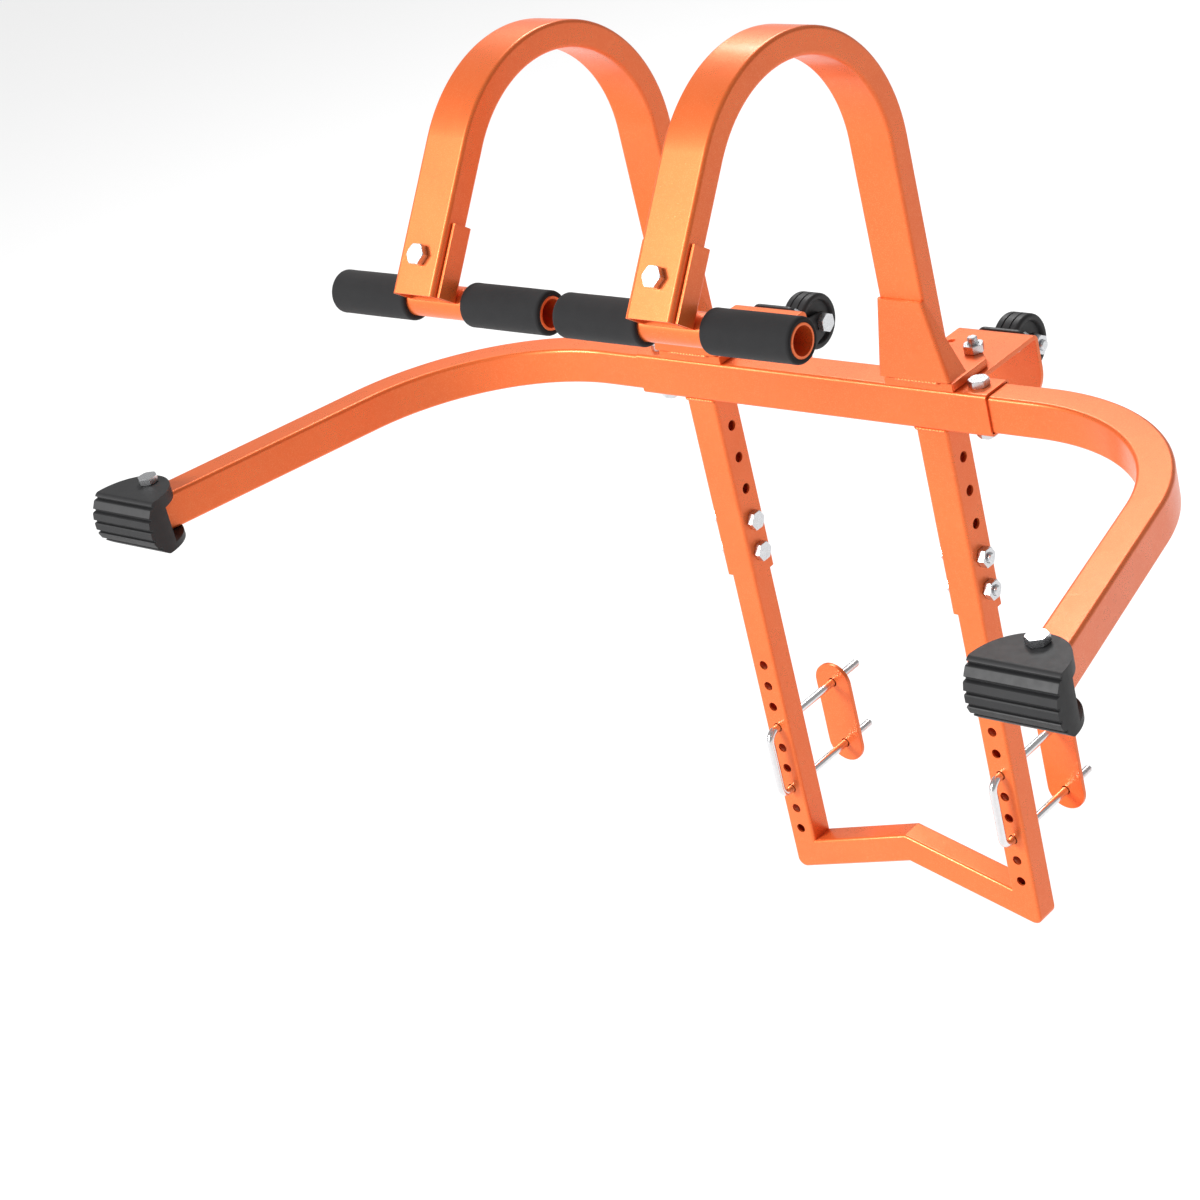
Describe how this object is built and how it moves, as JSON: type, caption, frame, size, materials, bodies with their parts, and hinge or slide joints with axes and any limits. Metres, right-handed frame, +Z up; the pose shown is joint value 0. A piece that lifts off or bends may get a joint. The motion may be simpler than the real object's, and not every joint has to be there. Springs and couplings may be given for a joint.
{
  "type": "ladder stabilizer",
  "caption": "Ladder stabilizer with two padded roof hooks, ridge wheels, curved wall arms with rubber feet and an adjustable lower frame clamped to a rung.",
  "frame": {"origin": "middle of the clamped ladder rung, halfway between the two U-bolts", "axes": "+Z up along the ladder, +X across to the right-hand wall foot, -Y towards the wall, +Y towards the ladder"},
  "size_m": [0.9378, 0.5238, 0.8175],
  "materials": {
    "orange_paint": "satin powder coat with a fine metallic grain",
    "zinc": "bright zinc plate",
    "black_foam": "matte closed-cell foam",
    "black_rubber": "satin moulded rubber",
    "wheel_rubber": "hard rubber",
    "black_plastic": "moulded black"
  },
  "bodies": {
    "frame": {"crossbar_sleeve": "orange_paint", "lower_frame": "orange_paint", "leg_sleeve_right": "orange_paint", "hook_tube_right": "orange_paint", "hook_gusset_right": "orange_paint", "hook_base_plate_right": "orange_paint", "wheel_bracket_right": "orange_paint", "wall_arm_right": "orange_paint", "t_bar_tube_right": "orange_paint", "t_bar_bracket_right": "orange_paint", "caster_fork_right": "black_plastic", "t_bar_bolt_right": "zinc", "arm_bolt_right": "zinc", "foot_bolt_right": "zinc", "axle_bolt_right": "zinc", "foam_grip_right_outer": "black_foam", "foam_grip_right_inner": "black_foam", "base_bolt_right_1": "zinc", "base_bolt_right_2": "zinc", "caster_bolt_right_1": "zinc", "caster_bolt_right_2": "zinc", "caster_bolt_right_3": "zinc", "caster_bolt_right_4": "zinc", "leg_bolt_right_1": "zinc", "leg_bolt_right_2": "zinc", "u_bolt_right": "zinc", "leg_sleeve_left": "orange_paint", "hook_tube_left": "orange_paint", "hook_gusset_left": "orange_paint", "hook_base_plate_left": "orange_paint", "wheel_bracket_left": "orange_paint", "wall_arm_left": "orange_paint", "t_bar_tube_left": "orange_paint", "t_bar_bracket_left": "orange_paint", "caster_fork_left": "black_plastic", "t_bar_bolt_left": "zinc", "arm_bolt_left": "zinc", "foot_bolt_left": "zinc", "axle_bolt_left": "zinc", "foam_grip_left_outer": "black_foam", "foam_grip_left_inner": "black_foam", "base_bolt_left_1": "zinc", "base_bolt_left_2": "zinc", "caster_bolt_left_1": "zinc", "caster_bolt_left_2": "zinc", "caster_bolt_left_3": "zinc", "caster_bolt_left_4": "zinc", "leg_bolt_left_1": "zinc", "leg_bolt_left_2": "zinc", "u_bolt_left": "zinc"},
    "wheel_right": {"wheel_right": "wheel_rubber"},
    "foot_right": {"wall_foot_right": "black_rubber"},
    "clamp_right": {"clamp_plate_right": "orange_paint", "clamp_nut_right_upper": "zinc", "clamp_nut_right_lower": "zinc"},
    "wheel_left": {"wheel_left": "wheel_rubber"},
    "foot_left": {"wall_foot_left": "black_rubber"},
    "clamp_left": {"clamp_plate_left": "orange_paint", "clamp_nut_left_upper": "zinc", "clamp_nut_left_lower": "zinc"}
  },
  "joints": [
    {"name": "wheel_right_spin", "type": "hinge", "parent": "frame", "child": "wheel_right", "pos_m": [0.1065, 0.086, 0.354], "axis": [1, 0, 0], "continuous": true},
    {"name": "foot_right_swivel", "type": "hinge", "parent": "frame", "child": "foot_right", "pos_m": [0.43339, -0.375, 0.364], "axis": [0, 0, 1], "range_deg": [-45, 45]},
    {"name": "clamp_right_slide", "type": "slide", "parent": "frame", "child": "clamp_right", "axis": [0, 1, 0], "range_m": [-0.05, 0.024]},
    {"name": "wheel_left_spin", "type": "hinge", "parent": "frame", "child": "wheel_left", "pos_m": [-0.1065, 0.086, 0.354], "axis": [1, 0, 0], "continuous": true},
    {"name": "foot_left_swivel", "type": "hinge", "parent": "frame", "child": "foot_left", "pos_m": [-0.43339, -0.375, 0.364], "axis": [0, 0, 1], "range_deg": [-45, 45]},
    {"name": "clamp_left_slide", "type": "slide", "parent": "frame", "child": "clamp_left", "axis": [0, 1, 0], "range_m": [-0.05, 0.024]}
  ]
}
